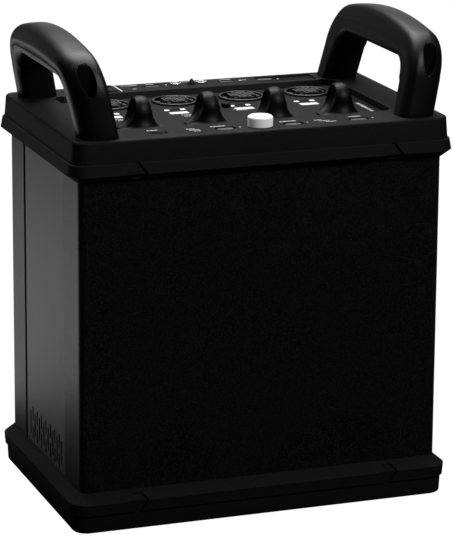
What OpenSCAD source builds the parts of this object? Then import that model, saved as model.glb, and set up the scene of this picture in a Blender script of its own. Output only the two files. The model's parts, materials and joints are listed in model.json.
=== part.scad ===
// Studio flash power pack: sheet-metal case between two moulded bumpers, two
// carrying handles, and a sunken control panel with four lamp channels.
// Millimetres. X runs along the front, Y goes to the back, Z is up.
// The origin is on the floor, under the middle of the case.

/* [Case] */
// Width of the sheet-metal body
case_w = 292.6; // [285:0.2:300]
// Depth of the sheet-metal body
case_d = 187.8; // [184:0.2:194]
// Height from the bottom bumper's underside to the top face
case_h = 304.4; // [290:0.2:330]
// Outside radius of the body's upright corners
corner_r = 6; // [5:0.5:7]
// Thickness of the sheet metal
sheet_t = 1.5; // [1:0.1:2]
// How far the rubber feet stand below the bottom bumper
foot_proud = 1.2; // [0.8:0.1:2]
// How far the front cover wraps round onto each side
front_wrap = 42.4; // [38:0.2:44]
// How far the rear cover wraps round onto each side
rear_wrap = 38.4; // [34:0.2:40]
// Width of the open seam behind each side panel
rear_seam = 4; // [2:0.2:5]

/* [Bumpers] */
// How far the bumper's lip stands out from the body
lip_out = 8.7; // [7:0.1:10]
// Height of the bottom bumper
base_h = 30.8; // [30:0.2:34]
// Height of the top bumper
top_h = 32.4; // [30:0.2:34]
// Distance from the bottom face to the bottom bumper's lip
base_lip = 23.6; // [23:0.2:26]
// Distance from the top face to the top bumper's lip
top_lip = 25.8; // [24:0.2:27]
// Distance from the bottom face to the bottom bumper's stepped ledge
base_ledge = 14; // [12:0.2:16]
// Distance from the top face to the top bumper's stepped ledge
top_ledge = 17; // [14:0.2:18]
// Depth of the stepped ledges
ledge_step = 1.6; // [1:0.1:2]
// How far the top face stands in behind the lip
top_in = 4.4; // [4:0.1:6]
// How far the bottom face stands in behind the lip
base_in = 2.9; // [2.4:0.1:4]
// Thickness of the top face and of the bottom bumper's floor
plate_t = 5; // [4.5:0.1:6]
// Distance from the middle to each stacking notch
notch_x = 103; // [90:1:110]
// Half the width of a stacking notch at the lip
notch_half = 8; // [6:0.2:9]

/* [Handles] */
// Distance from the middle to the inner face of a handle's foot
handle_in = 113; // [110:0.2:114]
// Width of a handle's foot
handle_foot = 30; // [28:0.5:31]
// Depth of a handle at its foot, front to back
handle_len = 185.6; // [180:0.2:188]
// Rise of the grip's top over the top face
handle_rise = 69; // [67:0.2:74]
// Height of the finger gap
finger_gap = 40.6; // [38:0.2:44]
// Depth of a leg at its foot
leg_d = 24.6; // [23:0.2:26]
// Depth of a leg at the grip
leg_top_d = 30; // [28:0.2:32]
// Radius of the upright corners of a handle's legs
leg_r = 10; // [6:0.5:11]
// Outward lean of a handle, run over rise
handle_lean = 0.212; // [0.18:0.002:0.22]

/* [Control panel] */
// Width of the sunken panel
panel_w = 237; // [234:1:238]
// Front edge of the sunken panel
panel_front = -61; // [-62:0.5:-60]
// Back edge of the sunken panel
panel_back = 68; // [64:0.5:68]
// Thickness of the panel plate
panel_t = 2.5; // [2:0.1:3]
// Spacing of the lamp sockets
socket_pitch = 56; // [54:0.2:56.4]
// Middle of the row of lamp sockets
socket_mid = 3.7; // [2:0.1:5]
// Distance of the lamp sockets behind the middle
socket_y = 44.4; // [44:0.1:45]
// Diameter of a lamp socket's rim
socket_rim = 37.4; // [36:0.1:38]
// Diameter of a lamp socket's mouth
socket_mouth = 32; // [30.5:0.1:32]
// Spacing of the dials
dial_pitch = 54.4; // [52:0.2:56]
// Middle of the row of dials
dial_mid = -0.8; // [-2:0.1:2]
// Distance of the dials behind the middle
dial_y = -42.3; // [-43:0.1:-41]
// Diameter of a dial's foot
dial_foot = 35; // [34:0.5:36]
// Height of a dial
dial_h = 25; // [24:0.2:26]
// Diameter of a dial's shaft
shaft_d = 6; // [5.5:0.1:6.5]
// Diameter of the test button
test_d = 19.4; // [19:0.1:21]
// Height of the test button over the top face
test_h = 8; // [7:0.1:9]

/* [Inside] */
// Diameter of a flash capacitor
cap_d = 51; // [45:0.5:51]
// Height of a flash capacitor
cap_h = 105; // [90:1:110]
// Spacing of the capacitors
cap_pitch = 53; // [52.5:0.1:53.5]
// Width of the fan's square frame
fan_w = 80; // [76:1:80]
// Depth of the fan
fan_t = 25; // [24:0.5:25]

/* [Hidden] */
$fn = 64;

// Levels
base_z = foot_proud;
top_z = foot_proud + case_h;
floor_z = top_z - plate_t;
seat_h = 22;
sheet_low = base_z + seat_h + 0.2;
sheet_high = top_z - seat_h - 0.2;
chassis_z = base_z + plate_t;
deck_z = chassis_z + 2;
board_top = floor_z - panel_t - 7.5;
board_t = 1.6;

// Centres of the case's rounded corners, and the lip's reach out from them
mid_x = case_w / 2 - corner_r;
mid_y = case_d / 2 - corner_r;
lip_u = corner_r + lip_out;
edge_r = 2;
shelf_u = 3;

// Sliding and turning clearances
slide_gap = 0.3;
run_gap = 0.05;

// Lamp channels
channels = [0, 1, 2, 3];
function socket_x(i) = socket_mid + (i - 1.5) * socket_pitch;
function dial_x(i) = dial_mid + (i - 1.5) * dial_pitch;

// Push buttons as [x, y]: the front strip's, then the rear console's
front_buttons = [[-27.6, -82], [27.2, -82], [80.8, -82]];
rear_buttons = [[-29.6, 84.6], [33.6, 84.6], [66.8, 84.6]];
button_w = 13;
button_d = 5.4;
test_x = 0.9;
test_y = -80.5;
usb_x = -80.5;
usb_y = -81.5;

// Rear console
console_x0 = -111;
console_x1 = 111;
console_y0 = 70;
console_y1 = 94.2;
console_t = 2.5;
console_ledge = 1.5;
rocker_x = -69.6;
rocker_y = 83.6;
rocker_w = 11;
rocker_r = 8;
rocker_throw = 20;
rocker_pivot_z = top_z - 3.5;
jack_x = [-9.5, 12.7];
jack_y = 86.3;
jack_bore = 6.4;
cell_x = 2.4;
cell_y = 80.6;
console_lamp = [-47, 85.5];
console_seams = [-17, 20];
status_x = 83.7;
status_y = 82.2;
status_w = 48.6;
status_d = 19.4;

// Handle legs, studs and tie rods share these upright lines; then the feet
stud_x = 127.3;
stud_y = 83;
stud_d = 8;
rod_d = 12;
foot_x = 112;
foot_y = 60;
// Posts that carry the clamp plate and the charger board
post_x = 104;
post_y = 78;
plug_z = top_z + 43.4;

// Fan and vents
fan_x = 112;
vent_mid_y = 0.5;
vent_mid_z = base_z + 46.9;
vent_cols = 15;
vent_pitch = 6;
vent_w = 3;
fan_z = vent_mid_z + 2;
fan_pin = 3;

// Mains inlet in the rear cover, in the free space over the capacitors
inlet_x = -78;
inlet_z = 138;
inlet_w = 24;
inlet_h = 17;

/* ---- Shared shapes ---- */

// Rounded rectangle about the origin
module rounded_rect(w, d, r) {
    square([w - 2 * r, d], center = true);
    square([w, d - 2 * r], center = true);
    for (sx = [-1, 1], sy = [-1, 1])
        translate([sx * (w / 2 - r), sy * (d / 2 - r)]) circle(r);
}

// Upright block with rounded corners, from height z0 to z1
module rounded_block(w, d, r, z0, z1) {
    translate([0, 0, z0]) linear_extrude(z1 - z0) rounded_rect(w, d, r);
}

// Upright rod from height z0 to z1
module rod(d, z0, z1) {
    translate([0, 0, z0]) cylinder(d = d, h = z1 - z0);
}

// Long hole with round ends, along Y
module slot(w, l) {
    square([w, l - w], center = true);
    for (s = [-1, 1]) translate([0, s * (l - w) / 2]) circle(d = w);
}

// Pill outline, along X
module pill(w, d) {
    rotate(90) slot(d, w);
}

// Children at the four corners of a rectangle
module at_corners(x, y) {
    for (sx = [-1, 1], sy = [-1, 1]) translate([sx * x, sy * y, 0]) children();
}

// Runs a profile round the case. Its x is the distance out from the corner
// centres and its y is the height.
module around_case() {
    for (k = [0:3]) {
        across = k % 2 == 0 ? mid_x : mid_y;
        along = k % 2 == 0 ? mid_y : mid_x;
        rotate([0, 0, 90 * k]) translate([across, 0, 0]) {
            rotate([90, 0, 0]) linear_extrude(2 * along, center = true) children();
            translate([0, along, 0]) rotate_extrude(angle = 90) children();
        }
    }
}

/* ---- Bumpers ---- */

// The two bumpers as [end face's set-in, ledge, lip, height]
base_wall = [base_in, base_ledge, base_lip, base_h];
top_wall = [top_in, top_ledge, top_lip, top_h];

// Outer side of a bumper's wall from its end face (height 0) to the sheet
// metal, moved in by inset
function wall_outline(wall, inset) =
    let (
        end_u = lip_u - wall[0],
        low_u = end_u + (wall[0] - ledge_step) * 0.45
    )
    concat(
        [for (a = [-90:22.5:0])
            [end_u - edge_r + edge_r * cos(a) - inset, edge_r + edge_r * sin(a)]],
        [[low_u - inset, wall[1]],
         [low_u + ledge_step - inset, wall[1] + 0.6],
         [lip_u - inset, wall[2]],
         [corner_r + 0.1, wall[3] - inset]]);

// Wall of a bumper, with the shelf that the sheet metal's edge stands on
module wall_profile(wall) {
    u = corner_r + 0.1;
    polygon(concat(
        [[u, 0]],
        wall_outline(wall, 0),
        [[u, seat_h], [shelf_u, seat_h], [shelf_u, seat_h - 2], [u, seat_h - 2]]));
}

// Diamond-shaped stacking notch in the front wall, whose floor follows the wall
module stacking_notch(wall) {
    depth = 2;
    front = mid_y + lip_u;
    apex = wall[3] - 0.3;
    difference() {
        translate([0, 6 - front, 0]) rotate([90, 0, 0]) linear_extrude(8)
            polygon([[-1.5, wall[1]], [1.5, wall[1]], [notch_half, wall[2]],
                     [1.2, apex], [-1.2, apex], [-notch_half, wall[2]]]);
        translate([-notch_half - 1, -mid_y, 0]) rotate([0, 0, -90]) rotate([90, 0, 0])
            mirror([0, 0, 1]) linear_extrude(2 * notch_half + 2)
                polygon(concat([[0, 0]], wall_outline(wall, depth), [[0, wall[3]]]));
    }
}

// Wall and end plate of a bumper, standing on its end face at height 0
module bumper_shell(wall) {
    difference() {
        union() {
            around_case() wall_profile(wall);
            rounded_block(2 * (mid_x + 8), 2 * (mid_y + 8), 8, 0, plate_t);
        }
        for (turn = [0, 180], side = [-1, 1])
            rotate([0, 0, turn]) translate([side * notch_x, 0, 0]) stacking_notch(wall);
    }
}

module base_bumper() {
    color([0.11, 0.11, 0.12]) difference() {
        translate([0, 0, base_z]) bumper_shell(base_wall);
        // Screw holes up into the tie rods
        at_corners(stud_x, stud_y) {
            rod(6.4, 0, chassis_z + 1);
            rod(12, 0, base_z + 2.5);
        }
        // Pockets for the feet
        at_corners(foot_x, foot_y) rod(26, 0, base_z + 2);
    }
}

module rubber_feet() {
    color([0.05, 0.05, 0.05]) at_corners(foot_x, foot_y) {
        rod(25.6, 0.6, base_z + 2);
        rod(23.6, 0, 0.6);
    }
}

// Holes through the top face for everything that comes up through it
module top_openings() {
    translate([0, (panel_front + panel_back) / 2])
        rounded_rect(panel_w, panel_back - panel_front, 9);
    translate([(console_x0 + console_x1) / 2, (console_y0 + console_y1) / 2])
        rounded_rect(console_x1 - console_x0 - 2 * console_ledge,
                     console_y1 - console_y0 - 2 * console_ledge, 2);
    for (p = front_buttons) translate(p) pill(button_w + 2 * slide_gap, button_d + 2 * slide_gap);
    translate([test_x, test_y]) circle(d = test_d + 2 * slide_gap);
    translate([usb_x, usb_y]) square([14, 6.6], center = true);
    for (sx = [-1, 1], sy = [-1, 1])
        translate([sx * stud_x, sy * stud_y]) circle(d = stud_d + 0.4);
}

module top_bumper() {
    color([0.13, 0.13, 0.14]) difference() {
        translate([0, 0, top_z]) mirror([0, 0, 1]) bumper_shell(top_wall);
        translate([0, 0, floor_z - 1]) linear_extrude(plate_t + 2) top_openings();
        // Pocket that the console plate drops into
        translate([(console_x0 + console_x1) / 2, (console_y0 + console_y1) / 2, 0])
            rounded_block(console_x1 - console_x0, console_y1 - console_y0, 3,
                          top_z - console_t, top_z + 1);
        // Finger dishes round the front buttons
        for (p = front_buttons) translate([p[0], p[1], top_z - 1.2])
            linear_extrude(2) pill(button_w + 4, button_d + 3);
    }
}

/* ---- Sheet metal ---- */

// Plan of the folded sheet, from the front face back to the depth reach
module folded_plan(reach) {
    intersection() {
        difference() {
            rounded_rect(case_w, case_d, corner_r);
            rounded_rect(case_w - 2 * sheet_t, case_d - 2 * sheet_t, corner_r - sheet_t);
        }
        translate([-case_w / 2 - 1, -case_d / 2 - 1]) square([case_w + 2, reach + 1]);
    }
}

module front_cover() {
    color([0.07, 0.07, 0.07])
        translate([0, 0, sheet_low]) linear_extrude(sheet_high - sheet_low) folded_plan(front_wrap);
}

module rear_cover() {
    color([0.07, 0.07, 0.07]) difference() {
        translate([0, 0, sheet_low]) linear_extrude(sheet_high - sheet_low)
            rotate(180) folded_plan(rear_wrap);
        at_inlet() rounded_block(inlet_w + 2.4, inlet_h + 2.4, 2.2, -4, 1);
    }
}

// One column of the vent: a single slot, or two with a bridge between them
module vent_column(col) {
    if (col % 2 == 0) slot(vent_w, 20);
    else for (s = [-1, 1]) translate([0, s * 7.8]) slot(vent_w, 12.2);
}

// Side panel on the left (side = -1) or on the right (side = 1)
module side_panel(side) {
    y0 = -case_d / 2 + front_wrap + 0.4;
    y1 = case_d / 2 - rear_wrap - rear_seam;
    set_in = 0.3;
    color([0.2, 0.2, 0.21])
        translate([side * (case_w / 2 - set_in - sheet_t / 2), 0, 0]) difference() {
            translate([-sheet_t / 2, y0, sheet_low]) cube([sheet_t, y1 - y0, sheet_high - sheet_low]);
            for (col = [0:vent_cols - 1])
                translate([0, vent_mid_y + (col - (vent_cols - 1) / 2) * vent_pitch, vent_mid_z])
                    rotate([90, 0, 90]) linear_extrude(4, center = true) vent_column(col);
        }
}

module left_side_panel() { side_panel(-1); }
module right_side_panel() { side_panel(1); }

/* ---- Handles ---- */

// Lean of a handle's legs, in degrees
leg_lean = atan(handle_lean);

// A handle's side outline narrows by this much for each millimetre up
leg_narrowing = 0.00104;
// Lean of the whole outline to the front, run over rise, and its set-off
front_lean = 0.038;
front_shift = 0.7;
function leaned(p, narrow) =
    [p[0] * (1 - narrow * p[1]) - front_lean * p[1] - front_shift, p[1]];

// Side view of a handle above the top face: x is front to back, y is up
module handle_side_view() {
    half = handle_len / 2;
    shoulder_r = 32.5;
    crown_r = 350;
    inner_r = 13.4;
    shoulder_y = half - shoulder_r;
    shoulder_z = handle_rise - crown_r + sqrt(pow(crown_r - shoulder_r, 2) - pow(shoulder_y, 2));
    crown_a = asin(shoulder_y / (crown_r - shoulder_r));
    inner_y = half - leg_top_d;
    quarter = concat(
        [[half, 0], [half, shoulder_z / 2]],
        [for (k = [0:8]) let (a = k * (90 - crown_a) / 8)
            [shoulder_y + shoulder_r * cos(a), shoulder_z + shoulder_r * sin(a)]],
        [for (k = [3:-1:1]) let (a = k * crown_a / 4)
            [crown_r * sin(a), handle_rise - crown_r * (1 - cos(a))]]);
    gap = concat(
        [[half - leg_d, -1]],
        [for (a = [0:15:90])
            [inner_y - inner_r + inner_r * cos(a), finger_gap - inner_r + inner_r * sin(a)]]);
    difference() {
        polygon(concat(
            [for (p = quarter) leaned(p, leg_narrowing)],
            [leaned([0, handle_rise], 0)],
            [for (k = [len(quarter) - 1:-1:0])
                leaned([-quarter[k][0], quarter[k][1]], leg_narrowing)]));
        polygon(concat(
            [for (p = gap) leaned(p, 0)],
            [for (k = [len(gap) - 1:-1:0]) leaned([-gap[k][0], gap[k][1]], 0)]));
    }
}

// End view of the right-hand handle: x is across the case, y is up. Its top
// falls away to the outer side.
module handle_end_view() {
    half_w = handle_foot / 2;
    half_t = (handle_rise - finger_gap) / 2;
    mid_z = finger_gap + half_t;
    inner_edge_r = 10.2;
    outer_edge_r = 13.9;
    fall = 0.245;
    crown = [for (a = [0:10:180]) let (
            r = a > 90 ? inner_edge_r : outer_edge_r,
            x = (a > 90 ? r - half_w : half_w - r) + r * cos(a),
            z = half_t - r + r * sin(a))
        [x, mid_z + z * (1 - fall * x / half_w)]];
    polygon([for (p = concat([[half_w, 0]], crown, [[-half_w, 0]]))
        [handle_in + half_w + p[0] + handle_lean * p[1], p[1]]]);
}

// Drop-shaped outline of the plug in the end of a handle's leg
module plug_outline(gap) {
    half_w = 6 - gap;
    half_h = 12.8 - gap;
    rotate(-leg_lean) polygon([for (a = [0:15:345])
        [half_w * cos(a) * (1 + 0.25 * sin(a)), half_h * sin(a)]]);
}

// The plug's middle across the case
function plug_x() = handle_in + handle_foot / 2 + handle_lean * (plug_z - top_z);

// A handle on the right (side = 1) or on the left (side = -1)
module handle(side) {
    color([0.08, 0.08, 0.08]) mirror([side < 0 ? 1 : 0, 0, 0]) difference() {
        intersection() {
            translate([0, 0, top_z]) rotate([90, 0, 0])
                linear_extrude(handle_len + 10, center = true) handle_end_view();
            translate([handle_in - 5, 0, top_z]) rotate([90, 0, 90])
                linear_extrude(60) handle_side_view();
            // Leaning column that rounds the legs' upright corners
            translate([handle_in + handle_foot / 2, 0, top_z]) rotate([0, leg_lean, 0])
                rounded_block(handle_foot * cos(leg_lean) + 0.6, handle_len, leg_r,
                              -20, handle_rise + 20);
        }
        for (end = [-1, 1]) {
            // Threaded hole for the stud
            translate([stud_x, end * stud_y, 0]) rod(stud_d, top_z - 1, top_z + 25);
            // Pocket for the plug
            translate([plug_x(), end * 89, plug_z]) rotate([90, 0, 0])
                linear_extrude(22, center = true) plug_outline(0);
        }
    }
}

module left_handle() { handle(-1); }
module right_handle() { handle(1); }

module handle_plugs() {
    color([0.05, 0.05, 0.05]) for (flip_x = [0, 1], flip_y = [0, 1])
        mirror([flip_x, 0, 0]) translate([plug_x(), (2 * flip_y - 1) * 79.8, plug_z])
            rotate([90, 0, 0]) linear_extrude(3, center = true) plug_outline(0.2);
}

module handle_studs() {
    color([0.7, 0.7, 0.72]) at_corners(stud_x, stud_y) rod(stud_d, floor_z - 18, top_z + 24);
}

/* ---- Frame inside ---- */

module tie_rods() {
    color([0.7, 0.7, 0.72]) at_corners(stud_x, stud_y) difference() {
        rod(rod_d, deck_z, floor_z);
        rod(stud_d, floor_z - 20, floor_z + 1);
        rod(6, deck_z - 1, deck_z + 16);
    }
}

module base_screws() {
    color([0.3, 0.3, 0.32]) at_corners(stud_x, stud_y) difference() {
        union() {
            rod(10, base_z + 0.3, base_z + 2.5);
            rod(6, base_z + 2.5, deck_z + 14);
        }
        // Hexagon socket in the head
        translate([0, 0, base_z]) cylinder(d = 5, h = 1.8, $fn = 6);
    }
}

module chassis_plate() {
    color([0.75, 0.75, 0.77]) difference() {
        rounded_block(case_w - 16, case_d - 6, 4, chassis_z, deck_z);
        at_corners(stud_x, stud_y) rod(6.4, chassis_z - 1, deck_z + 1);
        for (x = [-80, 0, 80]) translate([x, 84, 0]) rod(5, chassis_z - 1, deck_z + 1);
    }
}

/* ---- Flash energy ---- */

module at_capacitors() {
    for (i = [0:3], j = [-1:1]) translate([(i - 1.5) * cap_pitch, j * cap_pitch, 0]) children();
}

module flash_capacitors() {
    color([0.1, 0.12, 0.3]) at_capacitors() {
        rod(cap_d, deck_z, deck_z + cap_h - 2);
        rod(cap_d - 3, deck_z + cap_h - 2, deck_z + cap_h);
        for (s = [-1, 1]) translate([0, s * 11, 0]) rod(7, deck_z + cap_h, deck_z + cap_h + 4);
    }
}

clamp_z = deck_z + 82;

module capacitor_clamp() {
    color([0.8, 0.8, 0.75]) difference() {
        union() {
            rounded_block(218, 166, 4, clamp_z, clamp_z + 3);
            at_corners(post_x, post_y) rod(7, deck_z, clamp_z);
        }
        at_capacitors() rod(cap_d + 0.6, clamp_z - 1, clamp_z + 4);
    }
}

module busbars() {
    bar_z = deck_z + cap_h + 4;
    color([0.75, 0.42, 0.2]) for (j = [-1:1], s = [-1, 1])
        translate([-92, j * cap_pitch + s * 11 - 5, bar_z]) cube([184, 10, 2]);
}

charger_z = deck_z + 150;

module charger_standoffs() {
    color([0.75, 0.75, 0.77]) at_corners(post_x, post_y) rod(7, clamp_z + 3, charger_z);
}

module charger_board() {
    color([0.05, 0.35, 0.15]) {
        rounded_block(222, 168, 3, charger_z, charger_z + board_t);
        // Line filter choke and its storage capacitors
        translate([-85, 45, charger_z + board_t]) difference() {
            cylinder(d = 34, h = 15);
            translate([0, 0, -1]) cylinder(d = 14, h = 17);
        }
        for (x = [-90, -64]) translate([x, -45, charger_z + board_t]) cylinder(d = 22, h = 36);
    }
}

module charger_heatsink() {
    w = 74;
    l = 120;
    fins = 12;
    fin_t = 2;
    fin_pitch = (w - fin_t) / (fins - 1);
    color([0.6, 0.6, 0.62]) translate([30, -l / 2, charger_z + board_t]) {
        cube([w, l, 6]);
        for (i = [0:fins - 1]) translate([i * fin_pitch, 0, 5]) cube([fin_t, l, 33]);
    }
}

module charger_transformer() {
    color([0.2, 0.2, 0.22]) translate([-16, 0, charger_z + board_t]) {
        // Ferrite core: a frame with a middle limb
        for (z = [4, 44]) translate([-24, -11, z]) cube([48, 22, 8]);
        for (x = [-24, 16]) translate([x, -11, 12]) cube([8, 22, 32]);
        translate([-7, -11, 12]) cube([14, 22, 32]);
        // Winding round the middle limb
        difference() {
            rounded_block(28, 36, 6, 12.2, 43.8);
            translate([-7, -11, 12]) cube([14, 22, 32]);
        }
        for (x = [-18, 18]) translate([x, 0, 0]) cylinder(d = 6, h = 4);
    }
}

/* ---- Fan ---- */

// Children in the fan's own axes: z along the air flow, which is the case's X
module on_fan() {
    translate([fan_x, vent_mid_y, fan_z]) rotate([0, 90, 0]) children();
}

module fan_housing() {
    color([0.1, 0.1, 0.1]) on_fan() {
        difference() {
            rounded_block(fan_w, fan_w, 5, 0, fan_t);
            rod(fan_w - 4, -1, fan_t + 1);
            at_corners(35.5, 35.5) rod(4.3, -1, fan_t + 1);
        }
        // Motor base on four spokes, with the spindle that the rotor turns on
        rod(34, 0, 3);
        for (a = [45:90:315]) rotate(a) translate([16, -2, 0]) cube([fan_w / 2 - 17, 4, 3]);
        rod(fan_pin, 3, 20);
    }
}

module fan_rotor() {
    color([0.15, 0.15, 0.16]) on_fan() difference() {
        union() {
            rod(36, 4, 23);
            for (k = [0:6]) rotate(k * 360 / 7) translate([16.5, 0, 13.5]) rotate([38, 0, 0])
                translate([0, -9, -0.8]) cube([19.5, 18, 1.6]);
        }
        rod(fan_pin + 2 * run_gap, 3, 21);
        difference() {
            rod(33, 3.5, 20.5);
            rod(8, 3, 21);
        }
    }
}

/* ---- Boards under the controls ---- */

module control_boards() {
    color([0.05, 0.3, 0.12]) translate([0, 0, board_top - board_t]) linear_extrude(board_t) {
        difference() {
            translate([-114, -86]) square([228, 106]);
            translate([usb_x, usb_y]) square([16, 9], center = true);
        }
        difference() {
            translate([-46, 71]) square([154, 20]);
            for (x = jack_x) translate([x, jack_y]) circle(d = 9);
            translate([cell_x, cell_y]) circle(d = 6);
        }
    }
}

module board_standoffs() {
    color([0.8, 0.7, 0.3]) {
        for (x = [-106, 0, 106], y = [-55, 15])
            translate([x, y, 0]) rod(5, board_top, floor_z - panel_t);
        for (x = [-42, 24, 102]) translate([x, 75, 0]) rod(5, board_top, top_z - console_t);
    }
}

// Switch bodies on the boards, one under each button
module switch_bodies() {
    color([0.2, 0.2, 0.2]) for (p = concat(front_buttons, rear_buttons, [[test_x, test_y]]))
        translate([p[0], p[1], board_top]) {
            translate([-3.1, -3.1, 0]) cube([6.2, 6.2, 3.6]);
            cylinder(d = 3.4, h = 4.4);
        }
}

module dial_encoders() {
    color([0.55, 0.55, 0.58]) for (i = channels) translate([dial_x(i), dial_y, 0]) difference() {
        union() {
            translate([-6.5, -6.5, board_top]) cube([13, 13, 6.5]);
            rod(9, board_top + 6, floor_z - 0.3);
        }
        rod(shaft_d + 2 * run_gap, board_top + 1, floor_z + 1);
    }
}

/* ---- Control panel ---- */

// Places of the panel's small parts from a channel's own x
lamp_dx = 6.6;
display_x = -6.6;
display_y = 3.8;
display_w = 15.5;
window_y = 14.8;
sensor = [7.1, 11.8];
mode_window = [-0.9, -54.6];

module control_panel() {
    w = panel_w + 8;
    d = panel_back - panel_front + 7;
    color([0.3, 0.3, 0.31]) difference() {
        translate([0, (panel_front + panel_back) / 2, 0]) rounded_block(w, d, 4, floor_z - panel_t, floor_z);
        for (i = channels) {
            translate([socket_x(i), socket_y, 0]) rod(33.2, floor_z - 5, floor_z + 1);
            translate([dial_x(i), dial_y, 0]) rod(9.2, floor_z - 5, floor_z + 1);
            translate([dial_x(i) + display_x, 0, floor_z - 5]) linear_extrude(6) {
                translate([0, display_y]) square([display_w + 0.2, 8.2], center = true);
                translate([0, window_y]) square([8.2, 4.2], center = true);
                for (s = [-1, 1]) translate([s * lamp_dx, window_y]) square([4.2, 4.2], center = true);
            }
        }
        translate([sensor[0], sensor[1], floor_z - 1.5]) linear_extrude(2) square(6.2, center = true);
        translate([mode_window[0], mode_window[1], floor_z - 1.5])
            linear_extrude(2) square([11.2, 6.2], center = true);
    }
}

module display_bars() {
    color([0.8, 0.82, 0.8]) for (i = channels) translate([dial_x(i) + display_x, display_y, floor_z - 4])
        translate([-display_w / 2, -4, 0]) cube([display_w, 8, 3.9]);
}

// Dark windows: one beside each channel's lamps, and two in the panel's middle
module channel_windows() {
    color([0.03, 0.03, 0.03]) {
        for (i = channels) translate([dial_x(i) + display_x - 4, window_y - 2, floor_z - 4])
            cube([8, 4, 3.8]);
        translate([sensor[0] - 3, sensor[1] - 3, floor_z - 1.5]) cube([6, 6, 4.5]);
        translate([mode_window[0] - 5.5, mode_window[1] - 3, floor_z - 1.5]) cube([11, 6, 2.5]);
    }
}

module channel_lamps() {
    color([0.9, 0.9, 0.9]) for (i = channels, s = [-1, 1])
        translate([dial_x(i) + display_x + s * lamp_dx, window_y, floor_z - 4])
            translate([-2, -2, 0]) cube([4, 4, 4.1]);
}

/* ---- Dials ---- */

// Half outline of the bell: a flared foot and a round crown
module bell_profile() {
    foot = dial_foot / 2;
    waist = 11.8;
    waist_z = 12;
    rim = 1.5;
    crown = dial_h - waist_z;
    polygon(concat(
        [[0, 0], [foot, 0]],
        [for (a = [90:-15:0])
            [foot - (foot - waist) * cos(a), waist_z - (waist_z - rim) * sin(a)]],
        [for (a = [15:15:90]) [waist * cos(a), waist_z + crown * sin(a)]]));
}

module dial(i) {
    scoop_r = 16;
    scoop_z = 17;
    fin_half = 4;
    color([0.1, 0.1, 0.1]) translate([dial_x(i), dial_y, floor_z + 0.5]) difference() {
        rotate_extrude() bell_profile();
        for (s = [-1, 1]) translate([s * (fin_half + scoop_r), 0, scoop_z]) sphere(scoop_r);
        translate([0, 0, -1]) cylinder(d = shaft_d, h = 14);
    }
}

module dial_shaft(i) {
    color([0.75, 0.75, 0.78]) translate([dial_x(i), dial_y, 0]) rod(shaft_d, board_top + 1.3, floor_z + 13.5);
}

module dial_1() { dial(0); }
module dial_2() { dial(1); }
module dial_3() { dial(2); }
module dial_4() { dial(3); }
module dial_shaft_1() { dial_shaft(0); }
module dial_shaft_2() { dial_shaft(1); }
module dial_shaft_3() { dial_shaft(2); }
module dial_shaft_4() { dial_shaft(3); }

/* ---- Lamp sockets ---- */

socket_rise = 1.5;
socket_depth = 24;
insert_top = floor_z - 2;
insert_d = socket_mouth - 1;

module at_sockets() {
    for (i = channels) translate([socket_x(i), socket_y, 0]) children();
}

// Contacts: four rows of four, without the corners
contact_pitch = 5.4;
contact_places = [for (i = [-1.5:1:1.5], j = [-1.5:1:1.5])
    if (abs(i) + abs(j) < 3) [i * contact_pitch, j * contact_pitch]];
contact_top = floor_z + 2.6;

module socket_shells() {
    color([0.12, 0.12, 0.12]) at_sockets() difference() {
        union() {
            rod(socket_rim, floor_z, floor_z + socket_rise);
            rod(33, floor_z - socket_depth, floor_z);
        }
        rod(insert_d + 0.2, floor_z - socket_depth + 2, insert_top + 1);
        rod(socket_mouth, insert_top, floor_z + socket_rise + 1);
    }
}

module socket_inserts() {
    color([0.2, 0.2, 0.2]) at_sockets()
        rod(insert_d, floor_z - socket_depth + 2, insert_top);
}

// Block of contact towers in the middle of each socket
module contact_blocks() {
    color([0.3, 0.3, 0.3]) at_sockets() difference() {
        union() {
            translate([0, 0, insert_top]) linear_extrude(contact_top - 1.4 - insert_top) {
                square(3 * contact_pitch, center = true);
                square([contact_pitch * 4 - 0.6, contact_pitch * 2 - 0.6], center = true);
                square([contact_pitch * 2 - 0.6, contact_pitch * 4 - 0.6], center = true);
            }
            for (p = contact_places) translate([p[0] - 2.4, p[1] - 2.4, insert_top])
                cube([4.8, 4.8, contact_top - insert_top]);
        }
        for (p = contact_places) translate([p[0], p[1], 0]) rod(3, insert_top + 0.6, contact_top + 1);
    }
}

module socket_contacts() {
    color([0.8, 0.65, 0.3]) at_sockets() for (p = contact_places) translate([p[0], p[1], 0])
        difference() {
            rod(2.8, insert_top + 0.6, contact_top - 0.8);
            rod(2, insert_top + 1.6, contact_top);
        }
}

/* ---- Buttons ---- */

// Push button with a retaining flange under a plate whose underside is under_z
module push_button(p, under_z) {
    color([0.25, 0.25, 0.26]) translate([p[0], p[1], 0]) {
        translate([0, 0, board_top + 5.6]) linear_extrude(top_z - 0.3 - board_top - 5.6)
            pill(button_w, button_d);
        translate([0, 0, board_top + 5.6]) linear_extrude(under_z - 0.3 - board_top - 5.6)
            pill(button_w + 1.6, button_d + 1.6);
    }
}

module front_button_1() { push_button(front_buttons[0], floor_z); }
module front_button_2() { push_button(front_buttons[1], floor_z); }
module front_button_3() { push_button(front_buttons[2], floor_z); }
module rear_button_1() { push_button(rear_buttons[0], top_z - console_t); }
module rear_button_2() { push_button(rear_buttons[1], top_z - console_t); }
module rear_button_3() { push_button(rear_buttons[2], top_z - console_t); }

module test_button() {
    r = test_d / 2;
    edge = 1.8;
    low = floor_z - 2;
    color([0.92, 0.92, 0.9]) translate([test_x, test_y, 0]) {
        translate([0, 0, low]) rotate_extrude() polygon(concat(
            [[0, 0], [r + 1.2, 0], [r + 1.2, 1.6], [r, 1.6]],
            [for (a = [0:15:90])
                [r - edge + edge * cos(a), top_z + test_h - edge - low + edge * sin(a)]],
            [[0, top_z + test_h - low]]));
        rod(5, board_top + 6.7, low);
    }
}

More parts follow.
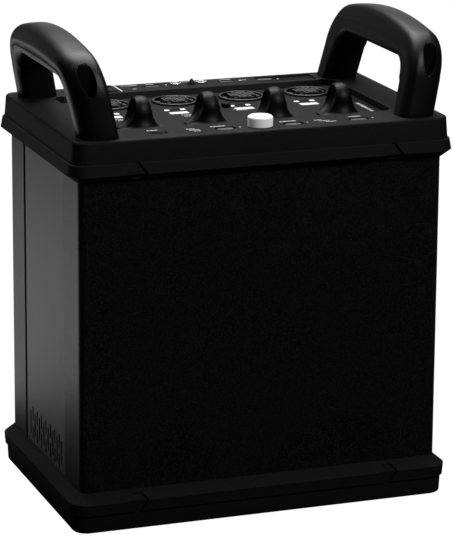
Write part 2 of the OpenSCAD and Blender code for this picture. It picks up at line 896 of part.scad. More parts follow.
/* ---- Rear console ---- */

module rear_console() {
    color([0.14, 0.14, 0.15]) difference() {
        translate([(console_x0 + console_x1) / 2, (console_y0 + console_y1) / 2, 0])
            rounded_block(console_x1 - console_x0 - 0.3, console_y1 - console_y0 - 0.3, 2.85,
                          top_z - console_t, top_z);
        translate([0, 0, top_z - console_t - 1]) linear_extrude(console_t + 2) {
            for (p = rear_buttons) translate(p) pill(button_w + 2 * slide_gap, button_d + 2 * slide_gap);
            for (x = jack_x) translate([x, jack_y]) circle(d = 8.2);
            translate([cell_x, cell_y]) circle(d = 5.2);
            translate([rocker_x, rocker_y]) square([14, 18.2], center = true);
            translate(console_lamp) circle(d = 2.4);
        }
        // Shallow bed of the status window
        translate([status_x, status_y, 0])
            rounded_block(status_w, status_d, 1.5, top_z - 1.8, top_z + 1);
        // Seams between the console's inserts
        for (x = console_seams) translate([x - 0.2, console_y0, top_z - 0.5])
            cube([0.4, console_y1 - console_y0, 1]);
    }
}

module status_window() {
    color([0.02, 0.02, 0.03]) difference() {
        translate([status_x, status_y, 0])
            rounded_block(status_w - 0.3, status_d - 0.3, 1.35, top_z - 1.8, top_z - 1);
        translate([rear_buttons[2][0], rear_buttons[2][1], top_z - 2]) linear_extrude(2)
            pill(button_w + 2 * slide_gap, button_d + 2 * slide_gap);
    }
}

module sync_jacks() {
    color([0.75, 0.75, 0.77]) for (x = jack_x) translate([x, jack_y, 0]) difference() {
        union() {
            rod(8, top_z - 18, top_z);
            rod(9.6, top_z, top_z + 1.2);
        }
        rod(jack_bore, top_z - 16, top_z + 2);
    }
}

// Slave cell: a small four-sided window on a round stem
module slave_cell() {
    color([0.15, 0.05, 0.05]) translate([cell_x, cell_y, 0]) {
        rod(5, top_z - 6, top_z);
        translate([0, 0, top_z]) rotate_extrude() polygon([[0, 0], [4.5, 0], [4.5, 1], [1.2, 5], [0, 5]]);
    }
}

module usb_socket() {
    color([0.6, 0.6, 0.62]) translate([usb_x, usb_y, 0]) difference() {
        translate([-6.9, -3.2, top_z - 14]) cube([13.8, 6.4, 13.4]);
        translate([-6.3, -2.6, top_z - 12]) cube([12.6, 5.2, 13]);
    }
}

// Children on the rear face, with z pointing out of it
module at_inlet() {
    translate([inlet_x, case_d / 2, inlet_z]) rotate([-90, 0, 0]) children();
}

module mains_inlet() {
    color([0.05, 0.05, 0.05]) at_inlet() difference() {
        union() {
            rounded_block(inlet_w + 2, inlet_h + 2, 2, -24, 0);
            rounded_block(inlet_w + 7, inlet_h + 7, 3, 0, 1.5);
        }
        rounded_block(inlet_w, inlet_h, 1.5, -20, 2);
    }
}

module mains_pins() {
    color([0.75, 0.75, 0.78]) at_inlet() for (p = [[-7, -2], [0, 3], [7, -2]])
        translate([p[0] - 1, p[1] - 3, -20]) cube([2, 6, 15]);
}

/* ---- Power rocker ---- */

module rocker_bezel() {
    color([0.06, 0.06, 0.06]) translate([rocker_x, rocker_y, 0]) difference() {
        union() {
            rounded_block(13.6, 17.8, 1, top_z - 16, top_z);
            rounded_block(15.6, 20.4, 1.5, top_z, top_z + 1);
        }
        rounded_block(rocker_w + 2 * slide_gap, 2 * rocker_r + 2 * slide_gap, 0.3, top_z - 14, top_z + 2);
        translate([0, 0, rocker_pivot_z]) rotate([0, 90, 0])
            cylinder(d = 2 + 2 * run_gap, h = 13, center = true);
    }
}

// The rocker rests pressed at its back, so that its front half stands proud
module power_rocker() {
    rest = -rocker_throw / 2;
    color([0.1, 0.1, 0.1]) translate([rocker_x, rocker_y, rocker_pivot_z]) rotate([rest, 0, 0]) {
        difference() {
            rotate([0, 90, 0]) cylinder(r = rocker_r, h = rocker_w, center = true);
            // Shallow V across the top, and a flat underside
            for (s = [-1, 1]) translate([0, 0, 3.6]) rotate([s * rocker_throw / 2, 0, 0])
                translate([-10, s > 0 ? 0 : -20, 0]) cube([20, 20, 12]);
            translate([-10, -10, -14]) cube([20, 20, 12]);
        }
        rotate([0, 90, 0]) cylinder(d = 2, h = rocker_w + 1.8, center = true);
    }
}

base_bumper();
rubber_feet();
front_cover();
rear_cover();
left_side_panel();
right_side_panel();
top_bumper();
control_panel();
rear_console();
left_handle();
right_handle();
handle_plugs();
handle_studs();
tie_rods();
base_screws();
chassis_plate();
flash_capacitors();
capacitor_clamp();
busbars();
charger_board();
charger_standoffs();
charger_heatsink();
charger_transformer();
fan_housing();
control_boards();
board_standoffs();
display_bars();
channel_windows();
channel_lamps();
dial_encoders();
socket_shells();
socket_inserts();
contact_blocks();
socket_contacts();
switch_bodies();
rocker_bezel();
sync_jacks();
slave_cell();
usb_socket();
mains_inlet();
mains_pins();
status_window();
dial_1();
dial_2();
dial_3();
dial_4();
dial_shaft_1();
dial_shaft_2();
dial_shaft_3();
dial_shaft_4();
test_button();
front_button_1();
front_button_2();
front_button_3();
rear_button_1();
rear_button_2();
rear_button_3();
power_rocker();
fan_rotor();
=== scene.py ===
"""Looks of the studio flash power pack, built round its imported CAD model."""
import json
import math

import bmesh
import bpy
from mathutils import Matrix, Vector


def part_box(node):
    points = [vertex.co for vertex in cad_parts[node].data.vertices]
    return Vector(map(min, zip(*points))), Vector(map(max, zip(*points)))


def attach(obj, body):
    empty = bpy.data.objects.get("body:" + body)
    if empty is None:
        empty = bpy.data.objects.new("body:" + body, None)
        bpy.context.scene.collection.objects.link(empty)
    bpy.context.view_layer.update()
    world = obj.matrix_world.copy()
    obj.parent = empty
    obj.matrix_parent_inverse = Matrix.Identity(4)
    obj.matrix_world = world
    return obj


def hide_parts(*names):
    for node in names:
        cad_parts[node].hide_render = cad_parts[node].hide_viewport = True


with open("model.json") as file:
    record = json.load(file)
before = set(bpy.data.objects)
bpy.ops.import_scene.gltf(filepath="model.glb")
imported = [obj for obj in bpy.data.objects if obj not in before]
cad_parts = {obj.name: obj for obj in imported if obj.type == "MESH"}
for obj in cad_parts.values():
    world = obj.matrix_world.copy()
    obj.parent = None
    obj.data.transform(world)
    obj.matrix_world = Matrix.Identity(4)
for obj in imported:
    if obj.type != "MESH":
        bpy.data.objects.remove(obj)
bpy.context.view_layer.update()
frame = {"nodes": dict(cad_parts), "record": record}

MM = 0.001
NODES = frame["nodes"]
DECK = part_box("top_bumper")[1][2]
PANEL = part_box("control_panel")[1][2]


# ---- Camera ----

# Place in metres; turn about the upright, tilt down and roll in degrees
CAMERA_AT = (-0.7638, -2.0970, 0.7774)
TURN, TILT, ROLL = -19.901, 14.116, 0.346
SENSOR, LENS = 36, 195.86
SHIFT_X, SHIFT_Y = 0.01865, -0.09835


def make_camera():
    data = bpy.data.cameras.new("camera")
    cam = bpy.data.objects.new("camera", data)
    bpy.context.scene.collection.objects.link(cam)
    data.sensor_width = SENSOR
    data.lens = LENS
    data.shift_x = SHIFT_X
    data.shift_y = SHIFT_Y
    data.clip_end = 50
    turn = Matrix.Rotation(math.radians(TURN), 4, "Z")
    tilt = Matrix.Rotation(math.radians(90 - TILT), 4, "X")
    roll = Matrix.Rotation(math.radians(ROLL), 4, "Z")
    cam.matrix_world = Matrix.Translation(CAMERA_AT) @ turn @ tilt @ roll
    bpy.context.scene.camera = cam


# ---- Light ----

# Strength of the plain white world, and how dark the floor is to reflected light
WORLD, FLOOR_GREY = 0.01, 0.02
# Soft boxes: name, place and target in metres, width and height in metres, watts
BOXES = [("near_glow", (-0.36, 0.4, 0.02), (-0.33, 0.306, 1.02), 0.5, 1.0, 1.8),
         ("far_glow", (-0.70, 1.6, 0.02), (-0.67, 1.506, 1.02), 0.7, 1.1, 1.0),
         ("back_left", (-1.0, 3.2, 0.6), (0.0, 0.0, 0.4), 0.6, 0.9, 1),
         ("back_wall", (1.15, 2.4, 0.7), (0.0, 0.0, 0.4), 1.5, 1.0, 3),
         ("top", (0.05, 0.4, 1.4), (-0.1, -0.1, 0.35), 1.2, 1.0, 38),
         ("front", (0.9, -2.0, 1.9), (0.0, 0.0, 0.3), 0.8, 0.8, 48)]


# ---- Materials ----

# How far the noise moves the roughness either way, and its octaves
ROUGH_SPAN, NOISE_DETAIL = 0.08, 3.0


def material(name, dark, light, rough, grain, depth, metallic=0.0, specular=0.5, contrast=0.25):
    """Noise of `grain` cycles per metre varies the colour from dark to light,
    varies the roughness and bumps the surface by `depth` metres. A smaller
    contrast gives a harder change of colour."""
    mat = bpy.data.materials.new(name)
    mat.use_nodes = True
    tree = mat.node_tree
    link = tree.links.new
    bsdf = tree.nodes["Principled BSDF"]
    bsdf.inputs["Metallic"].default_value = metallic
    bsdf.inputs["Specular IOR Level"].default_value = specular
    coord = tree.nodes.new("ShaderNodeTexCoord")
    noise = tree.nodes.new("ShaderNodeTexNoise")
    noise.inputs["Scale"].default_value = grain
    noise.inputs["Detail"].default_value = NOISE_DETAIL
    noise.inputs["Roughness"].default_value = 0.6
    link(coord.outputs["Object"], noise.inputs["Vector"])
    ramp = tree.nodes.new("ShaderNodeValToRGB")
    ramp.color_ramp.elements[0].position = 0.5 - contrast
    ramp.color_ramp.elements[0].color = (*dark, 1)
    ramp.color_ramp.elements[1].position = 0.5 + contrast
    ramp.color_ramp.elements[1].color = (*light, 1)
    link(noise.outputs["Fac"], ramp.inputs["Fac"])
    link(ramp.outputs["Color"], bsdf.inputs["Base Color"])
    spread = tree.nodes.new("ShaderNodeMapRange")
    spread.inputs["To Min"].default_value = rough - ROUGH_SPAN
    spread.inputs["To Max"].default_value = rough + ROUGH_SPAN
    link(noise.outputs["Fac"], spread.inputs["Value"])
    link(spread.outputs["Result"], bsdf.inputs["Roughness"])
    bump = tree.nodes.new("ShaderNodeBump")
    bump.inputs["Distance"].default_value = depth
    bump.inputs["Strength"].default_value = 0.8
    link(noise.outputs["Fac"], bump.inputs["Height"])
    link(bump.outputs["Normal"], bsdf.inputs["Normal"])
    return mat


def grey(v):
    return (v, v, v)


def with_painted_glints(mat, scale, low, high, colour):
    """Adds fine light specks where a second noise passes a threshold: painted glints, standing in
    for the sparkle of the textured paint.
    """
    tree = mat.node_tree
    link = tree.links.new
    bsdf = tree.nodes["Principled BSDF"]
    base = bsdf.inputs["Base Color"].links[0].from_socket
    coord = next(n for n in tree.nodes if n.type == "TEX_COORD")
    noise = tree.nodes.new("ShaderNodeTexNoise")
    noise.inputs["Scale"].default_value = scale
    noise.inputs["Detail"].default_value = 1.0
    link(coord.outputs["Object"], noise.inputs["Vector"])
    step = tree.nodes.new("ShaderNodeMapRange")
    step.inputs["From Min"].default_value = low
    step.inputs["From Max"].default_value = high
    link(noise.outputs["Fac"], step.inputs["Value"])
    mix = tree.nodes.new("ShaderNodeMix")
    mix.data_type = "RGBA"
    link(step.outputs["Result"], mix.inputs["Factor"])
    link(base, mix.inputs[6])
    mix.inputs[7].default_value = (*colour, 1)
    link(mix.outputs[2], bsdf.inputs["Base Color"])
    return mat


M = {
    "bumper": material("bumper", grey(0.002), grey(0.008), 0.6, 1100, 0.0004, specular=0.06),
    "foot_rubber": material("foot_rubber", grey(0.012), grey(0.022), 0.8, 600, 0.0001),
    # The textured sheet's light specks are painted glints in its base colour
    "textured_sheet": with_painted_glints(
        material("textured_sheet", grey(0.0002), grey(0.0006), 0.42, 900, 0.00015, specular=0.12,
                 contrast=0.12),
        1500, 0.60, 0.68, grey(0.038)),
    "smooth_sheet": material("smooth_sheet", grey(0.004), grey(0.012), 0.5, 1300, 0.0002,
                             specular=0.45, contrast=0.12),
    "panel_plastic": material("panel_plastic", grey(0.005), grey(0.012), 0.6, 1500, 0.0002,
                              specular=0.05),
    "console_plastic": material("console_plastic", grey(0.004), grey(0.011), 0.6, 1200, 0.0002,
                                specular=0.05),
    "handle_plastic": material("handle_plastic", grey(0.0004), grey(0.002), 0.40, 1300, 0.0002,
                               specular=0.2),
    "plug_rubber": material("plug_rubber", grey(0.001), grey(0.002), 0.6, 900, 0.00005,
                            specular=0.05),
    "steel": material("steel", grey(0.5), grey(0.6), 0.3, 700, 0.00003, metallic=1.0),
    "dark_steel": material("dark_steel", grey(0.07), grey(0.1), 0.4, 700, 0.00003, metallic=1.0),
    "sheet_aluminium": material("sheet_aluminium", grey(0.55), grey(0.66), 0.35, 500, 0.00003,
                                metallic=1.0),
    "capacitor_sleeve": material("capacitor_sleeve", (0.015, 0.02, 0.1), (0.025, 0.035, 0.14),
                                 0.3, 400, 0.00003),
    "clamp_plastic": material("clamp_plastic", (0.5, 0.48, 0.4), (0.58, 0.56, 0.48), 0.6, 500,
                              0.0001),
    "copper": material("copper", (0.65, 0.33, 0.2), (0.75, 0.42, 0.27), 0.3, 500, 0.00003,
                       metallic=1.0),
    "circuit_board": material("circuit_board", (0.01, 0.12, 0.04), (0.02, 0.18, 0.07), 0.35, 300,
                              0.00003),
    "ferrite": material("ferrite", grey(0.04), grey(0.06), 0.6, 800, 0.0001),
    "fan_plastic": material("fan_plastic", grey(0.02), grey(0.03), 0.5, 900, 0.0001),
    "contact_brass": material("contact_brass", (0.7, 0.55, 0.28), (0.8, 0.65, 0.35), 0.3, 900,
                              0.00003, metallic=1.0),
    "display_face": material("display_face", grey(0.5), grey(0.6), 0.3, 900, 0.00002),
    "dark_lens": material("dark_lens", grey(0.0005), grey(0.001), 0.5, 600, 0.00001,
                          specular=0.03),
    "white_lens": material("white_lens", grey(0.8), grey(0.88), 0.3, 900, 0.00001),
    "socket_plastic": material("socket_plastic", grey(0.002), grey(0.004), 0.45, 1200, 0.00005,
                               specular=0.08),
    "insert_plastic": material("insert_plastic", grey(0.001), grey(0.002), 0.5, 1500, 0.00005,
                               specular=0.1),
    "nickel": material("nickel", grey(0.6), grey(0.7), 0.22, 900, 0.00001, metallic=1.0),
    "white_button": material("white_button", grey(0.88), grey(0.93), 0.35, 1200, 0.00002),
    "rocker_plastic": material("rocker_plastic", grey(0.003), grey(0.006), 0.35, 900, 0.00003,
                               specular=0.25),
    "dial_plastic": material("dial_plastic", grey(0.0003), grey(0.0015), 0.4, 1500, 0.0002,
                             specular=0.11),
    "button_plastic": material("button_plastic", grey(0.03), grey(0.05), 0.4, 1500, 0.00004,
                               specular=0.3),
}
# Looks of pieces that have no CAD slot of their own
PRINT = material("print_ink", grey(0.35), grey(0.45), 0.5, 2500, 0.00001)
# The lighter ring on the socket rims' tops is a painted highlight; the key blocks share its colour
RIM_HIGHLIGHT_AND_KEYS = material("rim_highlight_and_key_plastic", grey(0.008), grey(0.014), 0.35, 1500, 0.00002)
TOWER = material("tower_plastic", grey(0.006), grey(0.012), 0.3, 1500, 0.00002)
JACK = material("jack_shell", grey(0.004), grey(0.008), 0.4, 1500, 0.00002, specular=0.2)
# Painted shade: dark collars in the gaps round the small buttons
GAP_SHADE = material("painted_gap_shade", grey(0.001), grey(0.002), 0.6, 1500, 0.00002, specular=0.05)

SLOT_OF = {row["node"]: row["material_slot"] for row in frame["record"]["subparts"]}
for node, obj in NODES.items():
    if not obj.data.materials:
        obj.data.materials.append(None)
    for place in obj.material_slots:
        place.material = M[SLOT_OF[node]]


# ---- Piece helpers ----

def body_of_node(node):
    return next(b for b, ns in frame["record"]["behaviour"]["bodies"].items() if node in ns)


def piece(name, mesh, node, mat=None, replace=True):
    """Links a mesh as a piece that rides with a CAD node's body, and takes the
    node's place unless told not to."""
    obj = bpy.data.objects.new(name, mesh)
    bpy.context.scene.collection.objects.link(obj)
    mesh.materials.clear()
    mesh.materials.append(mat or M[SLOT_OF[node]])
    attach(obj, body_of_node(node))
    if replace:
        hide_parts(node)
    return obj


def smooth(mesh, angle=40):
    """Smooth shading, kept sharp where two faces meet at more than the angle."""
    bm = bmesh.new()
    bm.from_mesh(mesh)
    for f in bm.faces:
        f.smooth = True
    for e in bm.edges:
        e.smooth = len(e.link_faces) != 2 or e.calc_face_angle(0) < math.radians(angle)
    bm.to_mesh(mesh)
    bm.free()


def from_bmesh(name, bm, angle=40):
    """Turns a bmesh into a mesh with smooth shading."""
    bmesh.ops.recalc_face_normals(bm, faces=bm.faces)
    mesh = bpy.data.meshes.new(name)
    bm.to_mesh(mesh)
    bm.free()
    smooth(mesh, angle)
    return mesh


# Edges sharper than this many degrees are rounded over
SOFT_ANGLE = 32


def softened(node, width, mat=None):
    """A copy of a CAD node whose edges are rounded over by width, which takes
    the node's place."""
    bm = bmesh.new()
    bm.from_mesh(NODES[node].data)
    bmesh.ops.remove_doubles(bm, verts=bm.verts, dist=2e-6)
    bmesh.ops.dissolve_limit(bm, angle_limit=math.radians(1), verts=bm.verts, edges=bm.edges)
    obj = piece(node + "_soft", from_bmesh(node + "_soft", bm, SOFT_ANGLE), node, mat)
    bevel = obj.modifiers.new("edges", "BEVEL")
    bevel.width = width
    bevel.segments = 2
    bevel.limit_method = "ANGLE"
    bevel.angle_limit = math.radians(SOFT_ANGLE)
    bevel.use_clamp_overlap = True
    bevel.harden_normals = True
    return obj


def lathe(name, profile, places, steps=64, angle=40):
    """Turns a profile of (radius, height) round Z at each place. A profile that
    comes back to its first point gives a closed ring."""
    ring_shaped = profile[0] == profile[-1]
    bm = bmesh.new()
    for px, py, pz in places:
        rings = []
        for r, z in profile[:-1] if ring_shaped else profile:
            if r < 1e-7:
                rings.append([bm.verts.new((px, py, pz + z))])
            else:
                rings.append([bm.verts.new((px + r * math.cos(math.tau * k / steps),
                                            py + r * math.sin(math.tau * k / steps), pz + z))
                              for k in range(steps)])
        for a, b in zip(rings, rings[1:] + rings[:1] if ring_shaped else rings[1:]):
            for k in range(steps):
                quad = [a[k % len(a)], a[(k + 1) % len(a)], b[(k + 1) % len(b)], b[k % len(b)]]
                face = list(dict.fromkeys(quad))
                if len(face) > 2:
                    bm.faces.new(face)
    return from_bmesh(name, bm, angle)


def arc(cx, cz, r, start, end, steps):
    """Points of an arc in a profile, in metres and degrees."""
    return [(cx + r * math.cos(math.radians(start + (end - start) * k / steps)),
             cz + r * math.sin(math.radians(start + (end - start) * k / steps)))
            for k in range(steps + 1)]


def soft_min(a, b, k):
    """The smaller of two lengths, blended where they differ by less than k."""
    h = max(k - abs(a - b), 0.0) / k
    return min(a, b) - h * h * k / 4


def bridge(bm, rings, ends=True):
    """Joins rings of as many points each by quads, and closes both ends."""
    for a, b in zip(rings, rings[1:]):
        for k in range(len(a)):
            bm.faces.new((a[k], a[(k + 1) % len(a)], b[(k + 1) % len(b)], b[k]))
    if ends:
        bm.faces.new(rings[0])
        bm.faces.new(rings[-1])


# ---- Handles ----

# All in millimetres, heights over the top face. The foot's inner face and
# width, and how far the handle leans out for each millimetre of rise
FOOT_IN, FOOT_W, LEAN = 113.0, 30.0, 0.212
# Half the length at the foot, the rise of the grip's top and of the finger gap
HALF, RISE, GAP = 92.8, 69.0, 40.6
# Radii of the shoulders, of the crown and of the finger gap's corners
SHOULDER_R, CROWN_R, INNER_R = 32.5, 350.0, 13.4
# Depth of a leg at its foot and at the grip
LEG_D, LEG_TOP_D = 24.6, 30.0
# For each millimetre of rise: the share by which the handle narrows, and how
# far it moves back, or forwards if negative; then the whole handle's place
NARROW, TIP_FORWARD, HANDLE_Y = 0.00104, -0.038, -0.7
# Radii of the cross-section's corners: inner top, outer top and those by the
# gap; then the fall of its top outwards
ROUND_IN, ROUND_OUT, ROUND_GAP, FALL = 10.2, 13.9, 7.0, 0.245
# The sides' crease: its depth, where it starts and how soon it is full
CREASE, CREASE_FROM, CREASE_OVER = 0.7, 44, 8
CORNER_STEPS = 8


def handle_lines():
    """The handle's outer and inner lines in its side view, as matched points of
    (front to back, up) in millimetres."""
    sy = HALF - SHOULDER_R
    reach = CROWN_R - SHOULDER_R
    sz = RISE - CROWN_R + math.sqrt(reach ** 2 - sy ** 2)
    crown = math.degrees(math.asin(sy / reach))
    leg, bend, top = 10, 22, 14  # points along the leg, the bend and the crown
    outer = [(-HALF, sz * k / leg) for k in range(leg)]
    outer += [(-sy + x, sz + z) for x, z in arc(0, 0, SHOULDER_R, 180, 90 + crown, bend)]
    outer += [(x, RISE - CROWN_R + z) for x, z in arc(0, 0, CROWN_R, 90 + crown, 90, top)][1:]
    iy = -HALF + LEG_TOP_D
    low = GAP - INNER_R
    inner = [(-HALF + LEG_D + (LEG_TOP_D - LEG_D) * (low * k / leg) / GAP, low * k / leg)
             for k in range(leg)]
    inner += [(iy + INNER_R + x, low + z) for x, z in arc(0, 0, INNER_R, 180, 90, bend)]
    inner += [((iy + INNER_R) * (1 - k / top), GAP) for k in range(1, top + 1)]
    outer = [(y * (1 - NARROW * z), z) for y, z in outer]
    outer += [(-y, z) for y, z in outer[-2::-1]]
    inner += [(-y, z) for y, z in inner[-2::-1]]
    return tuple([(y + TIP_FORWARD * z + HANDLE_Y, z) for y, z in line]
                 for line in (outer, inner))


def section(half_w, half_t, flat):
    """Cross-section of a handle as (out, away from the gap, on a flat side?)."""
    pts = []
    corners = [(1, 1, ROUND_OUT), (-1, 1, ROUND_IN), (-1, -1, ROUND_GAP), (1, -1, ROUND_GAP)]
    for k, (sx, st, r) in enumerate(corners):
        r = min(r, half_w - 0.2, half_t - 0.2)
        cx, ct = sx * (half_w - r), st * (half_t - r)
        for j in range(CORNER_STEPS + 1):
            a = math.radians(90 * k + 90 * j / CORNER_STEPS)
            pts.append((cx + r * math.cos(a), ct + r * math.sin(a), 0.0))
        nxt = corners[(k + 1) % 4]
        r2 = min(nxt[2], half_w - 0.2, half_t - 0.2)
        ex, et = nxt[0] * (half_w - r2), nxt[1] * (half_t - r2)
        end = (ex + (0 if k % 2 == 0 else nxt[0] * r2), et + (nxt[1] * r2 if k % 2 == 0 else 0))
        x0, t0 = pts[-1][0], pts[-1][1]
        for u in (0.08, 0.2, 0.5, 0.8, 0.92):
            side = k % 2 == 1
            pts.append((x0 + (end[0] - x0) * u, t0 + (end[1] - t0) * u,
                        flat if side and 0.1 < u < 0.9 else 0.0))
    return pts


def make_handle(name, side, node):
    """Draws the cross-section along the two lines, from foot to foot."""
    outer, inner = handle_lines()
    bm = bmesh.new()
    rings = []
    for (oy, oz), (iy, iz) in zip(outer, inner):
        my, mz = (oy + iy) / 2, (oz + iz) / 2
        vy, vz = oy - iy, oz - iz
        length = math.hypot(vy, vz)
        half_t = length / 2
        vy, vz = vy / length, vz / length
        half_w = FOOT_W / 2
        crease = CREASE * max(0.0, min(1.0, (mz - CREASE_FROM) / CREASE_OVER))
        ring = []
        for x, t, inset in section(half_w, half_t, crease):
            x -= math.copysign(inset, x)
            if t > 0:
                t = soft_min(t * (1 - FALL * x / half_w), half_t, 1.5)
            y, z = my + vy * t, mz + vz * t
            across = side * (FOOT_IN + half_w + LEAN * z + x)
            ring.append(bm.verts.new((across * MM, y * MM, DECK + z * MM)))
        rings.append(ring)
    bridge(bm, rings)
    obj = piece(name, from_bmesh(name, bm, 50), node)
    cut_pockets(obj, side)
    return obj


# A plug's middle over the top face, its half width and half height, and how
# much fuller its upper end is
PLUG_RISE, PLUG_W, PLUG_H, PLUG_EGG = 43.4, 6.0, 12.8, 0.25
# Depths from the case's middle: the pocket's floor and past its mouth, the
# plug's back and face; then its play in the pocket and its rounded rim
POCKET_FLOOR, POCKET_MOUTH, PLUG_BACK, PLUG_FACE = 79.0, 104.0, 78.6, 81.3
PLUG_PLAY, PLUG_RIM = 0.25, 0.8


def drop_outline(grow, steps=48):
    """Outline of a plug, about its middle, in millimetres."""
    w, h = PLUG_W + grow, PLUG_H + grow
    a = math.atan(LEAN)
    pts = []
    for k in range(steps):
        t = math.tau * k / steps
        x, z = w * math.cos(t) * (1 + PLUG_EGG * math.sin(t)), h * math.sin(t)
        pts.append((x * math.cos(a) + z * math.sin(a), z * math.cos(a) - x * math.sin(a)))
    return pts


def drop_solid(bm, side, end, grow, y0, y1, rim=0.0):
    """Adds a plug-shaped solid between depths y0 and y1, with a sloping rim."""
    cx = FOOT_IN + FOOT_W / 2 + LEAN * PLUG_RISE
    levels = [(y0, grow), (y1 - rim, grow), (y1, grow - rim)] if rim else [(y0, grow), (y1, grow)]
    rows = []
    for y, g in levels:
        rows.append([bm.verts.new((side * (cx + x) * MM, end * y * MM,
                                   DECK + (PLUG_RISE + z) * MM))
                     for x, z in drop_outline(g)])
    bridge(bm, rows)


def cut_pockets(obj, side):
    """Cuts a handle's two plug pockets and rounds their rims."""
    bm = bmesh.new()
    for end in (-1, 1):
        drop_solid(bm, side, end, 0.0, POCKET_FLOOR, POCKET_MOUTH)
    tool = bpy.data.objects.new(obj.name + "_tool", from_bmesh(obj.name + "_tool", bm))
    bpy.context.scene.collection.objects.link(tool)
    cut = obj.modifiers.new("pockets", "BOOLEAN")
    cut.object = tool
    cut.solver = "EXACT"
    rim = obj.modifiers.new("rim", "BEVEL")
    rim.width = 0.6 * MM
    rim.segments = 2
    rim.limit_method = "ANGLE"
    rim.angle_limit = math.radians(50)
    bpy.context.view_layer.update()
    done = bpy.data.meshes.new_from_object(
        obj.evaluated_get(bpy.context.evaluated_depsgraph_get()))
    obj.modifiers.clear()
    obj.data = done
    smooth(done, 45)
    bpy.data.objects.remove(tool)


def make_plugs():
    bm = bmesh.new()
    for side in (-1, 1):
        for end in (-1, 1):
            drop_solid(bm, side, end, -PLUG_PLAY, PLUG_BACK, PLUG_FACE, PLUG_RIM)
    piece("plug_caps", from_bmesh("plug_caps", bm), "handle_plugs")


# ---- Dials ----

DIAL_TOP = 25.0


def bell(z):
    """Radius of a dial's bell at a height, in millimetres."""
    foot, waist, waist_z, rim = 17.5, 11.8, 12.0, 1.5
    if z <= rim:
        return foot
    if z <= waist_z:
        s = (waist_z - z) / (waist_z - rim)
        return foot - (foot - waist) * math.sqrt(max(0.0, 1 - s * s))
    s = (z - waist_z) / (DIAL_TOP - waist_z)
    return waist * math.sqrt(max(0.0, 1 - s * s))


def dial_radius(angle, z):
    """The bell, dished by a ball on each side, with a soft edge between."""
    ball, ball_x, ball_z, soft = 16.0, 20.0, 17.0, 1.8
    r = bell(z)
    level = ball ** 2 - (z - ball_z) ** 2
    c, s = abs(math.cos(angle)), math.sin(angle)
    inside = level - (ball_x * s) ** 2
    if level > 0 and inside > 0:
        r = soft_min(r, ball_x * c - math.sqrt(inside), soft)
    return max(r, 0.0)


def dial_ring(bm, cx, cy, base, z, inset, steps):
    """One level of a dial's outline, z and inset in millimetres."""
    ring = []
    for k in range(steps):
        angle = math.tau * k / steps
        r = (dial_radius(angle, z) - inset) * MM
        ring.append(bm.verts.new((cx + r * math.cos(angle), cy + r * math.sin(angle),
                                  base + z * MM)))
    return ring


def make_dials():
    steps, rows, edge, bevel = 96, 60, 1.6, 0.25
    for i in range(1, 5):
        low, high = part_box("dial_%d" % i)
        cx, cy = (low[0] + high[0]) / 2, (low[1] + high[1]) / 2
        bm = bmesh.new()
        heights = [0.0, bevel, 1.3, edge]
        heights += [edge + (DIAL_TOP - edge) * math.sin(math.pi / 2 * k / rows)
                    for k in range(1, rows)]
        rings = [dial_ring(bm, cx, cy, low[2], z, bevel if z == 0.0 else 0.0, steps)
                 for z in heights]
        bridge(bm, rings, ends=False)
        tip = bm.verts.new((cx, cy, low[2] + DIAL_TOP * MM))
        for k in range(steps):
            bm.faces.new((rings[-1][k], rings[-1][(k + 1) % steps], tip))
        bm.faces.new(rings[0])
        piece("dial_cap_%d" % i, from_bmesh("dial_cap_%d" % i, bm, 60), "dial_%d" % i)


# ---- Lamp sockets ----

# Middle and spacing of the four sockets, in millimetres
SOCKET_X, SOCKET_Y, SOCKET_PITCH = 3.7, 44.4, 56.0
SOCKETS = [((SOCKET_X + (i - 1.5) * SOCKET_PITCH) * MM, SOCKET_Y * MM, PANEL) for i in range(4)]


def make_sockets():
    """Rims with a thin raised ring on each, lighter than the rim as a painted highlight on its
    top, and a key block at either side inside in the same lighter plastic.
    The profiles are (radius, height over the panel) in millimetres."""
    shell = [(18.7, 0.0), (18.7, 0.6)] + arc(17.9, 0.7, 0.8, 0, 90, 5) + [
        (16.4, 1.5), (16.0, 1.1), (16.0, -1.9), (14.0, -2.0), (14.0, -2.6), (17.0, -2.6),
        (17.0, 0.0), (18.7, 0.0)]
    piece("socket_rims", lathe("socket_rims", [(r * MM, z * MM) for r, z in shell], SOCKETS, 96),
          "socket_shells")
    # Thin lighter ring on each rim's top: a painted highlight
    ring = [(17.9, 1.46), (17.6, 1.62), (16.9, 1.62), (16.6, 1.46), (17.9, 1.46)]
    piece("socket_rim_highlights", lathe("socket_rim_highlights", [(r * MM, z * MM) for r, z in ring], SOCKETS, 96),
          "socket_shells", mat=RIM_HIGHLIGHT_AND_KEYS, replace=False)
    bm = bmesh.new()
    for x, y, z in SOCKETS:
        for side in (-1, 1):
            block(bm, x / MM + side * 13.8, y / MM, 2.6, 7.0, z / MM - 2.0, z / MM + 0.6)
    piece("socket_keys", from_bmesh("socket_keys", bm), "socket_shells", mat=RIM_HIGHLIGHT_AND_KEYS, replace=False)


# ---- Buttons, jacks and the slave cell ----

def make_test_button():
    low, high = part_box("test_button")
    cx, cy = (low[0] + high[0]) / 2, (low[1] + high[1]) / 2
    r, flange, edge, top = 9.7, 1.2, 2.0, (high[2] - DECK) / MM
    profile = [(0, -7), (r + flange, -7), (r + flange, -5.4), (r, -5.4), (r, top - 2.2)]
    profile += arc(r - edge, top - 2.2, edge, 0, 80, 8)[1:]
    profile += [(r - 3.5, top - 0.12), (r - 6, top - 0.03), (0, top)]
    piece("test_cap", lathe("test_cap", [(a * MM, b * MM) for a, b in profile],
                            [(cx, cy, DECK)], 72, 60), "test_button")


